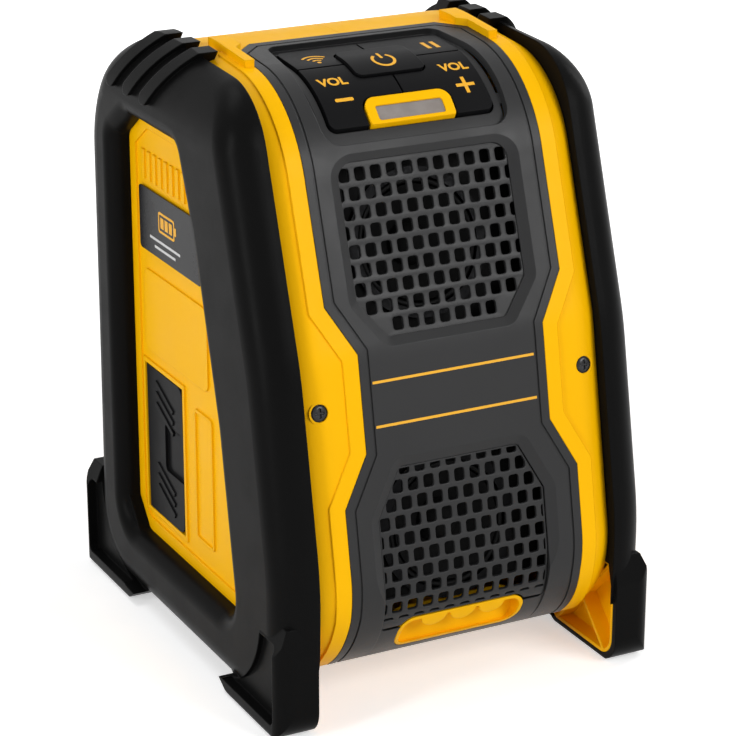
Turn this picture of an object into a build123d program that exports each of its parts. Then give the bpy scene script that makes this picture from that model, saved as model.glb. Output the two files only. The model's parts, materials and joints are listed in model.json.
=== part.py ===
from build123d import *
import os
from math import atan2, cos, degrees, hypot, radians, sin, tan

os.makedirs("parts", exist_ok=True)

# X runs to the right of the front face, Y runs from the front to the back, Z is height.
# The origin is on the ground under the middle of the speaker.

# side view of the body, front face at low Y
crown_z = 258.9
crown_front_y = 11.0
crown_radius = 70.0
brow_y = -51.1
brow_z = 254.1
brow_radius = 52.0
waist_y = -85.2
waist_z = 154.1
waist_radius = 60.0
chin_y = -106.8
chin_z = 39.3
chin_radius = 46.0
keel_y = -82.9
keel_z = 20.2
rear_y = 88.7
belly_z = 19.0
rear_radius = 63.0

# yellow housing, two halves that meet at the middle
body_half_width = 76.0
edge_round = 18.0
shell_wall = 3.0
front_drop = 0.8
ledge_wall = 3.2
ledge_rim = 5.0
land_border = 7.0
land_height = 0.7
seam_gap = 0.1
top_rail_inner_x = 50.0
top_rail_outer_x = 58.0
top_rail_front_y = -17.0
top_rail_rear_y = 19.0
top_rail_height = 3.0
field_inset = 6.0
field_depth = 0.8
flute_front_y = 6.0
flute_rear_y = 54.0
flute_low_z = 196.0
flute_top_z = 209.0
flute_count = 8
flute_share = 0.55
field_round_share = 0.12
side_frame_front_y = -17.0
side_frame_rear_y = 1.4
side_frame_low_z = 48.0
side_frame_top_z = 108.0
side_frame_width = 1.4
band_front_y = -14.0
band_rear_y = 52.0
band_low_z = 119.0
band_top_z = 156.0

# black front panel
panel_wall = 2.8
panel_half_width = 53.6
panel_waist_half_width = 42.2
panel_upper_z = 173.4
panel_waist_top_z = 154.1
panel_waist_low_z = 114.4
panel_lower_z = 93.7
panel_flare_z = 47.3
panel_foot_half_width = 55.8
panel_back_chamfer = 10.4
panel_fit = 0.2
panel_groove_inset = 3.6
panel_groove_width = 1.0
panel_groove_depth = 0.6

# windows in the panel, measured from the waist line along each sloping face
window_half_width = 38.5
window_land = 0.6
window_bevel = 4.2
upper_window_low = 5.0
upper_window_shoulder = 20.5
upper_window_top = 75.5
upper_window_low_half_width = 27.0
upper_window_top_radius = 7.0
lower_window_top = 48.4
lower_window_shoulder = 68.8
lower_window_low = 117.0
lower_window_top_half_width = 27.5
window_corner_radius = 3.0
dip_reach = 32.0

# grilles
grille_wall = 1.6
grille_chin_radius = 42.0
grille_flange = 3.0
grille_fit = 0.2
hole_pitch = 7.1
hole_row_pitch = 7.5
hole_width = 4.5
hole_height = 5.4
hole_corner = 1.2
upper_first_row = 9.8
lower_first_row = 49.0
upper_row_counts = (7, 10, 11, 12, 11, 12, 11, 12, 11)
lower_row_counts = (8, 9, 10, 11, 12, 11, 12, 11, 12, 11)

# keypad tray on the brow, laid out on a plane that leans with it
tray_lean = 31.0
tray_half_width = 38.5
tray_top = 41.5
tray_low = -21.5
tray_bevel = 4.6
tray_corner_radius = 4.0
tray_floor = 2.0
tray_rim = 0.2
key_gap = 0.9
key_wall = 3.4
key_stand = 1.3
key_corner = 3.0
key_travel = 0.8
keys_half_width = 37.0
keys_top = 37.0
keys_middle = 17.6
keys_low = -17.0
power_half_width = 15.6
power_top = 28.1
power_low = 6.9
power_stand = 2.4
bezel_half_width = 19.3
bezel_top = -5.3
bezel_low = -17.5
bezel_corner = 5.0
bezel_stand = 1.9
lens_half_width = 15.0
lens_top = -9.6
lens_low = -16.0
lens_corner = 1.0
lens_sink = 0.4

# finger scoop in the chin
scoop_half_width = 29.5
scoop_top_z = 41.0
scoop_low_z = 24.5
scoop_depth = 15.0
scoop_wall = 1.6
scoop_fit = 0.2
scoop_lobe_radius = 6.4
scoop_lobe_pitch = 13.5
scoop_lobe_count = 3

# black guards
guard_lap = 7.4
guard_stand = 9.8
guard_inner_x = body_half_width - guard_lap
guard_outer_x = body_half_width + guard_stand
guard_lean_lap = 11.0
guard_lean_rise = 3.0
guard_top_x = body_half_width - guard_lean_lap
guard_round = 14.0
guard_low_z = 3.5
guard_low_round = 34.0
guard_front_low_y = -102.3
guard_front_mid_y = -104.2
guard_front_mid_z = 66.0
guard_front_bend_y = -88.0
guard_front_bend_z = 150.0
guard_brow_y = -51.9
guard_brow_z = 256.0
guard_brow_radius = 33.0
guard_top_y = 6.7
guard_top_z = 259.0
guard_rear_top_y = 90.5
guard_rear_radius = 56.0
guard_rear_mid_y = 92.3
guard_rear_mid_z = 118.0
guard_rear_low_y = 94.6
guard_bend_radius = 120.0
guard_fit = 0.15
guard_lean_z = 230.0
guard_lean_share = 0.3
window_edge_round = 7.0
window_top_z = 225.0
window_top_front_y = -6.0
window_top_rear_y = 46.5
window_bend_y = -21.2
window_bend_z = 188.6
window_low_bend_y = -42.0
window_low_bend_z = 116.5
window_front_y = -57.5
window_low_z = 32.4
window_rear_y = 63.3
window_rear_top_z = 213.0
window_round = 14.0
window_bend_round = 60.0
window_top_round = 6.0

# feet at the four corners
foot_lap = 6.0
foot_stand = 12.0
foot_inner_x = body_half_width - foot_lap
foot_outer_x = body_half_width + foot_stand
foot_front_y = -105.0
foot_rear_y = 105.0
foot_face_z = 38.0
foot_shoulder_z = 49.5
foot_set_back = 3.0
front_foot_back_y = -56.0
front_foot_ramp_y = -36.0
rear_foot_front_y = 54.7
rear_foot_ramp_y = 35.0
foot_ramp_z = 12.0
foot_top_depth = 38.0
foot_toe_round = 12.0
foot_outer_round = 7.0
foot_inner_round = 3.0
foot_edge_round = 3.0
foot_rim = 6.5
foot_rim_z = 6.5
pocket_depth = 4.5
pocket_top_z = 42.0
front_pocket_back_y = -50.0
rear_pocket_front_y = 42.0
front_ledge_y = -39.5
rear_ledge_y = 48.0
ledge_z = 49.5
ledge_radius = 44.0

# keypad board under the tray, measured square to the leaning plane
board_depth = 22.0
board_wall = 1.6
board_half_width = 45.0
board_low = -20.0
board_top = 34.0
boss_x = 41.0
boss_low = -12.0
boss_top = 28.0
boss_radius = 2.5
tray_reach = 18.0
stem_x = 26.0
stem_radius = 1.8
switch_size = 6.0
switch_body = 2.0
switch_height = 2.8
key_clearance = 0.1
lens_fit = 0.1
scoop_back_y = -86.0
scoop_lobe_front_y = -96.0
scoop_end_share = 0.42
far_size = 400.0

# battery bay in the back
bay_half_width = 40.0
bay_low_z = 30.0
bay_top_z = 138.0
bay_front_y = 52.0
bay_wall = 2.5
bay_rail = 4.0
bay_rail_gap = 6.0
bay_rail_low_share = 0.25
bay_rail_high_share = 0.75
bay_rail_long_share = 0.3
terminal_half_width = 14.0
terminal_depth = 10.0
terminal_height = 30.0
terminal_low_z = 96.0
blade_wall = 0.8
blade_width = 7.0
blade_reach = 6.0
blade_pitch = 6.0
blade_count = 4

# port door and the sockets behind it, on the left side
port_front_y = 13.3
port_rear_y = 53.7
port_low_z = 43.8
port_top_z = 112.0
port_depth = 13.0
port_rim = 4.0
port_wall = 2.0
port_cover_wall = 2.4
port_cover_gap = 0.4
port_cover_round = 5.0
port_pin_radius = 1.2
port_pin_fit = 0.05
port_knuckle_radius = 2.2
socket_radius = 5.0
socket_bore_radius = 1.75
socket_length = 9.0
aux_z = 92.0
power_socket_z = 66.0
socket_y = 33.5
socket_stand = 5.0
port_pin_reach = 1.5
port_pocket_low_z = 68.0
port_pocket_top_z = 90.0
port_pocket_rear_y = 33.0
port_pocket_depth = 1.4
port_grip_count = 3
port_grip_pitch = 5.0
port_grip_long = 20.0
port_grip_wide = 2.0
port_grip_height = 0.6
port_grip_lean = 25.0

# side panels
label_wall = 0.6
label_front_y = -11.6
label_rear_y = 53.2
label_low_z = 165.0
label_top_z = 193.0
label_lean_share = 0.32
label_corner = 2.0

# speakers
driver_rim_radius = 31.0
driver_rim_wall = 2.0
driver_mouth_radius = 27.0
driver_cone_radius = 23.8
driver_cap_radius = 9.0
driver_cone_depth = 9.0
driver_cone_wall = 0.8
driver_basket_depth = 20.0
driver_neck_radius = 17.0
driver_magnet_radius = 21.0
driver_magnet_wall = 8.0
driver_plate_wall = 3.0
driver_pole_radius = 8.0
driver_coil_radius = 9.2
driver_coil_wall = 0.6
driver_coil_length = 16.0
driver_gap = 0.5
driver_travel = 1.5
upper_driver_run = 40.0
lower_driver_run = 80.0
baffle_inset = 19.0
baffle_wall = 3.0
baffle_fit = 0.1
baffle_top_run = 74.0
baffle_low_run = 108.0

# electronics
main_board_half_width = 42.0
main_board_height = 84.0
main_board_y = 36.0
main_board_wall = 1.6
heat_sink_width = 30.0
heat_sink_height = 24.0
heat_sink_depth = 12.0
heat_sink_fin = 1.5
heat_sink_fins = 6
heat_sink_z = 72.0
capacitor_radius = 5.0
capacitor_length = 11.0
capacitor_pitch = 13.0

# screws
screw_head_radius = 3.5
screw_head_height = 2.4
screw_shank_radius = 1.5
screw_length = 14.0
screw_hole_fit = 0.1
front_screw_lap = 15.3
front_screw_x = body_half_width - front_screw_lap
front_screw_z = 133.7
rear_screw_lap = 18.0
rear_screw_x = body_half_width - rear_screw_lap
rear_screw_low_z = 34.0
rear_screw_high_z = 190.0
screw_boss_radius = 4.5
screw_sink = 0.6

# raised ribs over the top of each guard
rib_lap = 13.0
rib_inner_x = body_half_width - rib_lap
rib_height = 2.2
rib_width = 9.5
rib_pitch = 17.7
rib_first_y = -3.4
rib_top_z = 262.3
rib_low_z = 236.0
rib_slope_share = 0.85
rib_end_round = 3.0
rib_count = 3
core_inset = 3.0
core_stand = 4.0
core_outer_x = body_half_width + core_stand
core_depth = 7.0
core_rib = 1.6

overrun = 1.0


def meet(a, b, c, d):
    # point where the line a-b crosses the line c-d
    abx, aby = b[0] - a[0], b[1] - a[1]
    cdx, cdy = d[0] - c[0], d[1] - c[1]
    share = ((c[0] - a[0]) * cdy - (c[1] - a[1]) * cdx) / (abx * cdy - aby * cdx)
    return (a[0] + share * abx, a[1] + share * aby)


def moved_side(a, b, inset):
    # the side a-b moved to its left, which is inwards for a loop drawn counter-clockwise
    run = hypot(b[0] - a[0], b[1] - a[1])
    left = (-(b[1] - a[1]) * inset / run, (b[0] - a[0]) * inset / run)
    return (a[0] + left[0], a[1] + left[1]), (b[0] + left[0], b[1] + left[1])


def inset_loop(corners, insets):
    # corners of a loop after each side has moved inwards by its own inset
    sides = []
    for index, inset in enumerate(insets):
        sides.append(moved_side(corners[index], corners[(index + 1) % len(corners)], inset))
    return [meet(*sides[index - 1], *sides[index]) for index in range(len(sides))]


def rounded_face(corners, radii):
    return make_face(FilletPolyline(*corners, radius=radii, close=True).edges())


def mirrored_corners(half_corners):
    # closes a half outline, drawn on the +X side, with its mirror image
    return half_corners + [(-x, v) for x, v in reversed(half_corners)]


body_corners = [
    (crown_front_y, crown_z),
    (brow_y, brow_z),
    (waist_y, waist_z),
    (chin_y, chin_z),
    (keel_y, keel_z),
    (rear_y, belly_z),
    (rear_y, crown_z),
]
body_radii = [crown_radius, brow_radius, waist_radius, chin_radius, 0, 0, rear_radius]
body_middle = ((keel_y + rear_y) / 2, (crown_z + belly_z) / 2)


def body_face(inset):
    corners = inset_loop(body_corners, [inset] * len(body_corners))
    radii = [radius - inset if radius else 0 for radius in body_radii]
    return rounded_face(corners, radii)


def grille_face():
    # like the body face behind the panel, but its chin runs out to the keel
    insets = [panel_wall] * len(body_corners)
    insets[3] = insets[4] = 0
    corners = inset_loop(body_corners, insets)
    radii = [radius - panel_wall if radius else 0 for radius in body_radii]
    radii[3] = grille_chin_radius
    return rounded_face(corners, radii)


def side_prism(face, half_width):
    return extrude(Plane.YZ * face, half_width, both=True)


def side_band(face, low_x, high_x):
    return extrude(Plane.YZ.offset(low_x) * face, high_x - low_x)


def skin(outer_inset, inner_inset, half_width):
    return side_prism(body_face(outer_inset) - body_face(inner_inset), half_width)


def front_wedge():
    # the sector of the side view that the panel covers, from the keel round to the crown
    far_y = chin_y - ledge_rim
    low_z = keel_z - ledge_rim
    top_z = crown_z + ledge_rim
    low_y = meet((far_y, low_z), (0, low_z), (keel_y, keel_z), body_middle)[0]
    corners = [
        (low_y, low_z), body_middle, (crown_front_y, crown_z), (crown_front_y, top_z),
        (far_y, top_z), (far_y, low_z),
    ]
    return side_prism(make_face(Polyline(*corners, close=True)), body_half_width)


def leaning_plane(low, high):
    # plane on a side of the body, its Y up the slope from the waist and its Z outwards
    run_y, run_z = high[0] - low[0], high[1] - low[1]
    return Plane(origin=(0, waist_y, waist_z), x_dir=(1, 0, 0), z_dir=(0, -run_z, run_y))


upper_plane = leaning_plane((waist_y, waist_z), (brow_y, brow_z))
lower_plane = leaning_plane((chin_y, chin_z), (waist_y, waist_z))


def panel_outline(grow):
    half = [
        (panel_foot_half_width, keel_z - ledge_rim),
        (panel_half_width, panel_flare_z),
        (panel_half_width, panel_lower_z),
        (panel_waist_half_width, panel_waist_low_z),
        (panel_waist_half_width, panel_waist_top_z),
        (panel_half_width, panel_upper_z),
        (panel_half_width, crown_z + ledge_rim),
    ]
    face = make_face(Polyline(*mirrored_corners(half), close=True))
    return offset(face, grow, kind=Kind.INTERSECTION) if grow else face


def panel_plan(grow):
    # seen from above, the panel's back corners are cut off
    half = [
        (panel_half_width + panel_back_chamfer, chin_y - ledge_rim),
        (panel_half_width + panel_back_chamfer, crown_front_y - 2 * panel_back_chamfer),
        (panel_half_width - panel_back_chamfer, crown_front_y),
    ]
    face = make_face(Polyline(*mirrored_corners(half), close=True))
    return offset(face, grow, kind=Kind.INTERSECTION) if grow else face


def panel_prism(grow):
    front = extrude(Plane.XZ.offset(-crown_front_y - overrun - abs(grow)) * panel_outline(grow),
                    crown_front_y - chin_y + 2 * ledge_rim + overrun)
    above = extrude(panel_plan(grow), crown_z + 2 * ledge_rim)
    return front & above


def upper_window_face(grow):
    half = [
        (upper_window_low_half_width, upper_window_low),
        (window_half_width, upper_window_shoulder),
        (window_half_width, upper_window_top),
    ]
    low = window_corner_radius
    top = upper_window_top_radius
    face = rounded_face(mirrored_corners(half), [low, low, top, top, low, low])
    return offset(face, grow) if grow else face


def lower_window_face(grow):
    half = [
        (window_half_width, -lower_window_low),
        (window_half_width, -lower_window_shoulder),
        (lower_window_top_half_width, -lower_window_top),
    ]
    face = rounded_face(mirrored_corners(half), window_corner_radius)
    return offset(face, grow) if grow else face


def dip_face(grow):
    # the strip under the lower window where the panel runs out level with the grille
    low = lower_window_low + dip_reach
    half = [(window_half_width, -low), (window_half_width, window_bevel - lower_window_low)]
    face = rounded_face(mirrored_corners(half), window_corner_radius)
    return offset(face, grow) if grow else face


def bevelled_hole(plane, outline, depth):
    # a hole with sloping sides down to a narrow land, then straight
    bevel_depth = panel_wall - window_land
    out_share = overrun / bevel_depth
    floor = plane.offset(-bevel_depth) * outline(0)
    mouth = plane.offset(overrun) * outline(window_bevel * (1 + out_share))
    return loft([floor, mouth], ruled=True) + extrude(floor, -depth)


def grille_body():
    return side_prism(grille_face(), body_half_width)


brow_centre = meet(*moved_side(body_corners[0], body_corners[1], brow_radius),
                   *moved_side(body_corners[1], body_corners[2], brow_radius))
tray_normal = (-sin(radians(tray_lean)), cos(radians(tray_lean)))
tray_plane = Plane(
    origin=(0, brow_centre[0] + brow_radius * tray_normal[0],
            brow_centre[1] + brow_radius * tray_normal[1]),
    x_dir=(1, 0, 0), z_dir=(0, tray_normal[0], tray_normal[1]))


def tray_face(grow):
    half = [(tray_half_width, tray_low), (tray_half_width, tray_top)]
    face = rounded_face(mirrored_corners(half), tray_corner_radius)
    return offset(face, grow) if grow else face


def key_cluster_face(grow):
    half = [(keys_half_width, keys_low), (keys_half_width, keys_top)]
    return offset(rounded_face(mirrored_corners(half), key_corner), grow)


def tray_hole():
    # the tray walls lean outwards from a floor below the lowest key to above the brow
    floor = tray_plane.offset(-tray_reach) * tray_face(0)
    mouth = tray_plane.offset(overrun) * tray_face(tray_bevel)
    return loft([floor, mouth], ruled=True)


def tray_column(face):
    return extrude(tray_plane.offset(-board_depth) * face, board_depth + overrun)


def panel_bosses():
    bosses = Part()
    for x in (-boss_x, boss_x):
        for v in (boss_low, boss_top):
            place = tray_plane.offset(-board_depth) * Pos(x, v)
            bosses += extrude(place * Circle(boss_radius), board_depth)
    return bosses & side_prism(body_face(panel_wall), body_half_width)


def panel_groove():
    ring = panel_prism(-panel_groove_inset) - panel_prism(-panel_groove_inset - panel_groove_width)
    return skin(-overrun, panel_groove_depth, body_half_width) & front_wedge() & ring


def front_panel():
    panel = skin(0, panel_wall, body_half_width) & front_wedge() & panel_prism(0)
    panel = panel - bevelled_hole(upper_plane, upper_window_face, brow_radius / 2)
    dip = bevelled_hole(lower_plane, dip_face, chin_radius) - grille_body()
    panel = panel - dip
    panel = panel - bevelled_hole(lower_plane, lower_window_face, chin_radius)
    panel = panel - tray_hole()
    floor = skin(panel_wall, panel_wall + tray_floor, body_half_width)
    floor = floor & tray_column(tray_face(tray_rim + tray_bevel / 2))
    panel = panel + floor + panel_bosses()
    panel = panel - tray_column(key_cluster_face(key_gap))
    return panel - scoop_column(scoop_fit) - panel_groove()


def octagon_hole():
    return chamfer(Rectangle(hole_width, hole_height).vertices(), hole_corner)


def hole_row(count):
    places = [(index - (count - 1) / 2) * hole_pitch for index in range(count)]
    return Sketch() + [Pos(x, 0) * octagon_hole() for x in places]


def upper_grille():
    plate = skin(panel_wall, panel_wall + grille_wall, body_half_width)
    plate = plate & extrude(upper_plane * upper_window_face(grille_flange), -brow_radius / 2)
    rows = Sketch()
    for index, count in enumerate(upper_row_counts):
        rows += Pos(0, upper_first_row + index * hole_row_pitch) * hole_row(count)
    return plate - extrude(upper_plane * rows, -brow_radius / 2)


def lower_row_plane(run):
    # plane square to the lower face at a distance down from the waist, round the chin
    slope = hypot(waist_y - chin_y, waist_z - chin_z)
    corner = atan2(waist_z - chin_z, waist_y - chin_y) + atan2(chin_z - keel_z, keel_y - chin_y)
    straight = slope - chin_radius / tan(corner / 2)
    if run <= straight:
        return lower_plane * Pos(0, -run, 0)
    bend = degrees((run - straight) / chin_radius)
    return lower_plane * Pos(0, -straight, -chin_radius) * Rot(bend, 0, 0) * Pos(0, 0, chin_radius)


def lower_grille():
    inner = panel_wall + grille_wall
    ring = skin(panel_wall, inner, body_half_width)
    ring = ring & extrude(lower_plane * lower_window_face(grille_flange), -chin_radius)
    field = grille_body() - side_prism(body_face(inner), body_half_width)
    field = field & extrude(lower_plane * lower_window_face(-grille_fit), -chin_radius)
    plate = ring + field
    for index, count in enumerate(lower_row_counts):
        place = lower_row_plane(lower_first_row + index * hole_row_pitch)
        plate = plate - extrude(place * hole_row(count), -2 * inner)
    return plate - scoop_column(scoop_fit)


def scoop_face(grow):
    high = scoop_top_z - scoop_low_z
    slot = RectangleRounded(2 * scoop_half_width, high, high * scoop_end_share)
    face = Pos(0, (scoop_top_z + scoop_low_z) / 2) * slot
    return offset(face, grow) if grow else face


def scoop_column(grow):
    # the scoop runs straight back from the chin
    start = chin_y - ledge_rim
    return extrude(Plane.XZ.offset(-start) * scoop_face(grow), start - scoop_back_y)


def finger_scoop():
    cup = scoop_column(0) & side_prism(grille_face(), body_half_width)
    hollow = extrude(Plane.XZ.offset(overrun - chin_y + ledge_rim) * scoop_face(-scoop_wall),
                     chin_y - ledge_rim - overrun - scoop_back_y + scoop_wall)
    cup = cup - hollow
    lobes = Part()
    for index in range(scoop_lobe_count):
        x = (index - (scoop_lobe_count - 1) / 2) * scoop_lobe_pitch
        place = Plane.XZ.offset(-scoop_lobe_front_y) * Pos(x, scoop_top_z)
        lobes += extrude(place * Circle(scoop_lobe_radius), scoop_lobe_front_y - scoop_back_y)
        lobes += Pos(x, scoop_lobe_front_y, scoop_top_z) * Sphere(scoop_lobe_radius)
    return cup + (lobes & scoop_column(0) & side_prism(grille_face(), body_half_width))


def rectangle_between(x0, x1, v0, v1):
    return Pos((x0 + x1) / 2, (v0 + v1) / 2) * Rectangle(x1 - x0, v1 - v0)


def key_faces():
    half_gap = key_gap / 2
    power = rounded_face(mirrored_corners([(power_half_width, power_low),
                                           (power_half_width, power_top)]), key_corner)
    bezel = rounded_face(mirrored_corners([(bezel_half_width, bezel_low - key_corner),
                                           (bezel_half_width, bezel_top)]), bezel_corner)
    around_power = offset(power, key_gap)
    around_bezel = offset(bezel, key_gap)
    cluster = key_cluster_face(0)
    upper_right = rectangle_between(half_gap, keys_half_width, keys_middle + half_gap, keys_top)
    lower_right = rectangle_between(half_gap, keys_half_width, keys_low, keys_middle - half_gap)
    pause = (upper_right & cluster) - around_power
    louder = (lower_right & cluster) - around_power - around_bezel
    faces = {"power_key": power, "pause_key": pause, "volume_up_key": louder}
    faces["pairing_key"] = mirror(pause, about=Plane.YZ)
    faces["volume_down_key"] = mirror(louder, about=Plane.YZ)
    return faces


key_switch_places = {
    "power_key": (0, (power_top + power_low) / 2),
    "pause_key": (stem_x, (keys_top + keys_middle) / 2),
    "pairing_key": (-stem_x, (keys_top + keys_middle) / 2),
    "volume_up_key": (stem_x, (keys_low + keys_middle) / 2),
    "volume_down_key": (-stem_x, (keys_low + keys_middle) / 2),
}


def key(name, face):
    top = panel_wall - (power_stand if name == "power_key" else key_stand)
    cap = skin(top, top + key_wall, body_half_width) & tray_column(face)
    x, v = key_switch_places[name]
    foot = tray_plane.offset(switch_height + key_travel + key_clearance - board_depth)
    stem = extrude(foot * Pos(x, v) * Circle(stem_radius), board_depth)
    return cap + (stem & side_prism(body_face(top + overrun), body_half_width))


def lens_bezel():
    outline = rounded_face(mirrored_corners([(bezel_half_width, bezel_low - key_corner),
                                             (bezel_half_width, bezel_top)]), bezel_corner)
    outline = outline & rectangle_between(-bezel_half_width, bezel_half_width, bezel_low, bezel_top)
    top = panel_wall - bezel_stand
    bezel = skin(top, panel_wall + tray_floor, body_half_width) & tray_column(outline)
    return bezel - tray_column(lens_face(lens_fit))


def lens_face(grow):
    half = [(lens_half_width, lens_low), (lens_half_width, lens_top)]
    return offset(rounded_face(mirrored_corners(half), lens_corner), grow)


def status_lens():
    top = panel_wall - bezel_stand + lens_sink
    return skin(top, panel_wall + tray_floor, body_half_width) & tray_column(lens_face(0))


def board_face():
    return rectangle_between(-board_half_width, board_half_width, board_low, board_top)


def keypad_board():
    return extrude(tray_plane.offset(-board_depth) * board_face(), -board_wall)


def key_switches():
    switches = Part()
    place = tray_plane.offset(-board_depth)
    for x, v in key_switch_places.values():
        body = extrude(place * Pos(x, v) * Rectangle(switch_size, switch_size), switch_body)
        switches += body
        switches += extrude(place * Pos(x, v) * Circle(stem_radius), switch_height)
    return switches


def status_led():
    place = tray_plane.offset(-board_depth) * Pos(0, (lens_low + lens_top) / 2)
    return extrude(place * Rectangle(switch_size, switch_size / 2), switch_body)


def rounded_body(inset):
    # the yellow body, its long edges rounded all the way from the keel over to the back
    body = side_prism(body_face(front_drop + inset), body_half_width - inset)
    ends = body.faces().filter_by(Axis.X)
    edges = [edge for end in ends for edge in end.edges() if edge.center().Z > belly_z + edge_round]
    return fillet(edges, edge_round - inset)


def half_space(side, grow):
    far = guard_outer_x + foot_outer_x
    return Pos(side * (far / 2 + grow), 0, crown_z / 2) * Box(far, 2 * far, 2 * far)


def bay_walls():
    high = bay_top_z - bay_low_z
    block = Pos(0, (bay_front_y + rear_y) / 2, (bay_top_z + bay_low_z) / 2)
    outer = block * Box(2 * bay_half_width + 2 * bay_wall, rear_y - bay_front_y, high + 2 * bay_wall)
    return outer


def bay_space():
    high = bay_top_z - bay_low_z
    deep = rear_y - bay_front_y - bay_wall + overrun
    place = Pos(0, rear_y + overrun - deep / 2, (bay_top_z + bay_low_z) / 2)
    space = place * Box(2 * bay_half_width, deep, high)
    for side in (-1, 1):
        x = side * (bay_half_width - bay_rail / 2)
        for z in (bay_low_z + high * bay_rail_low_share, bay_low_z + high * bay_rail_high_share):
            y = bay_front_y + bay_wall + bay_rail_gap + bay_rail / 2
            space -= Pos(x, y, z) * Box(bay_rail, bay_rail, high * bay_rail_long_share)
    return space


def port_space():
    size_y = port_rear_y - port_front_y
    size_z = port_top_z - port_low_z
    place = Pos(0, (port_rear_y + port_front_y) / 2, (port_top_z + port_low_z) / 2)
    deep = port_depth + overrun
    door = Box(2 * port_cover_wall + 2 * overrun, size_y, size_z)
    inner = Box(deep, size_y - 2 * port_rim, size_z - 2 * port_rim)
    door_place = Pos(overrun - body_half_width - overrun, 0, 0) * place
    return door_place * door + Pos(deep / 2 - overrun - body_half_width, 0, 0) * place * inner


def port_walls():
    size_y = port_rear_y - port_front_y
    size_z = port_top_z - port_low_z
    deep = port_depth + port_wall
    place = Pos(deep / 2 - body_half_width, (port_rear_y + port_front_y) / 2,
                (port_top_z + port_low_z) / 2)
    return place * Box(deep, size_y + 2 * port_wall, size_z + 2 * port_wall)


def housing():
    shell = rounded_body(0) - rounded_body(shell_wall)
    inner = panel_wall + panel_fit
    ledge = skin(inner, inner + ledge_wall, body_half_width) & panel_prism(ledge_rim)
    ledge = ledge & rounded_body(shell_wall / 2)
    land = skin(front_drop - land_height, front_drop + overrun, body_half_width)
    land = land & panel_prism(land_border) & front_wedge()
    shell = shell + ledge + land
    pocket = skin(-overrun, inner, body_half_width) & front_wedge() & panel_prism(panel_fit)
    shell = shell - pocket
    opening = front_wedge() & panel_prism(-ledge_rim)
    opening = opening & (Pos(0, 0, keel_z + ledge_rim + far_size / 2) * Box(far_size, far_size, far_size))
    shell = shell - opening - tray_column(tray_face(tray_rim + tray_bevel / 2 + panel_fit))
    return shell + top_rails() - side_field()


def top_rails():
    # low rails on the crown beside the guards
    middle_y = (top_rail_front_y + top_rail_rear_y) / 2
    long = top_rail_rear_y - top_rail_front_y
    wide = top_rail_outer_x - top_rail_inner_x
    rails = Part()
    for side in (-1, 1):
        x = side * (top_rail_inner_x + top_rail_outer_x) / 2
        rails += Pos(x, middle_y, crown_z) * Box(wide, long, 2 * edge_round)
    rails = rails & skin(-top_rail_height, shell_wall / 2, body_half_width)
    return rails - (front_wedge() & panel_prism(panel_fit))


def side_rectangle(y0, y1, low, high, round_share):
    small = round_share * min(y1 - y0, high - low)
    return rounded_face([(y0, low), (y1, low), (y1, high), (y0, high)], small)


def side_field():
    # the sunk field of a side panel, with flutes, a plain band and a frame left standing
    face = offset(guard_window_face(), -field_inset)
    face -= side_rectangle(band_front_y, band_rear_y, band_low_z, band_top_z, field_round_share)
    frame = side_rectangle(side_frame_front_y, side_frame_rear_y, side_frame_low_z,
                           side_frame_top_z, field_round_share)
    face -= frame - offset(frame, -side_frame_width)
    step = (flute_rear_y - flute_front_y) / flute_count
    for index in range(flute_count):
        y = flute_front_y + index * step
        face -= side_rectangle(y, y + step * flute_share, flute_low_z, flute_top_z, field_round_share)
    field = side_band(face, body_half_width - field_depth, body_half_width + overrun)
    return field + mirror(field, about=Plane.YZ)


def split_half(solid, side):
    return solid & half_space(side, seam_gap / 2)


def guard_face(grow):
    corners = [
        (guard_front_low_y, guard_low_z),
        (guard_rear_low_y, guard_low_z),
        (guard_rear_mid_y, guard_rear_mid_z),
        (guard_rear_top_y, guard_top_z),
        (guard_top_y, guard_top_z),
        (guard_brow_y, guard_brow_z),
        (guard_front_bend_y, guard_front_bend_z),
        (guard_front_mid_y, guard_front_mid_z),
    ]
    bend = guard_bend_radius
    radii = [guard_low_round, guard_low_round, bend, guard_rear_radius, bend, guard_brow_radius, bend, bend]
    face = rounded_face(corners, radii)
    return offset(face, grow) if grow else face


def guard_window_face():
    corners = [
        (window_front_y, window_low_z),
        (window_rear_y, window_low_z),
        (window_rear_y, window_rear_top_z),
        (window_top_rear_y, window_top_z),
        (window_top_front_y, window_top_z),
        (window_bend_y, window_bend_z),
        (window_low_bend_y, window_low_bend_z),
    ]
    top, bend = window_top_round, window_bend_round
    return rounded_face(corners, [window_round, window_round, top, top, top, bend, bend])


def guard_front_prism(grow):
    # seen from the front, the guard's outer side leans in over the top
    outer = guard_outer_x + grow
    top = guard_top_z + guard_lean_rise + grow
    side = Line((outer, -top), (outer, guard_lean_z))
    lean = TangentArc((outer, guard_lean_z), (guard_top_x, top), tangent=(0, 1))
    rest = Polyline((guard_top_x, top), (0, top), (0, -top), (outer, -top))
    return extrude(Plane.XZ * make_face([side, lean, rest]), guard_rear_low_y * 2, both=True)


def outer_rim(solid):
    # the edges round the outer side of a guard, each on one outer face only
    outer = [face for face in solid.faces() if face.normal_at().X > guard_lean_share]
    edges = [edge for face in outer for edge in face.edges() if edge.center().X > guard_fit]
    return [edge for edge in edges if sum(edge.is_same(other) for other in edges) == 1]


def guard_blank():
    blank = side_band(guard_face(0), 0, guard_outer_x) & guard_front_prism(0)
    blank = fillet(outer_rim(blank), guard_round)
    blank = blank & side_band(guard_face(rib_height), guard_inner_x, far_size)
    blank = blank - side_band(guard_window_face(), 0, far_size)
    inside = side_band(offset(guard_window_face(), guard_fit), body_half_width, far_size)
    edges = [edge for edge in blank.edges() if inside.is_inside(edge.center())]
    edges = [edge for edge in edges if abs(edge.tangent_at().X) < guard_lean_share]
    return fillet(edges, window_edge_round)


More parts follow.
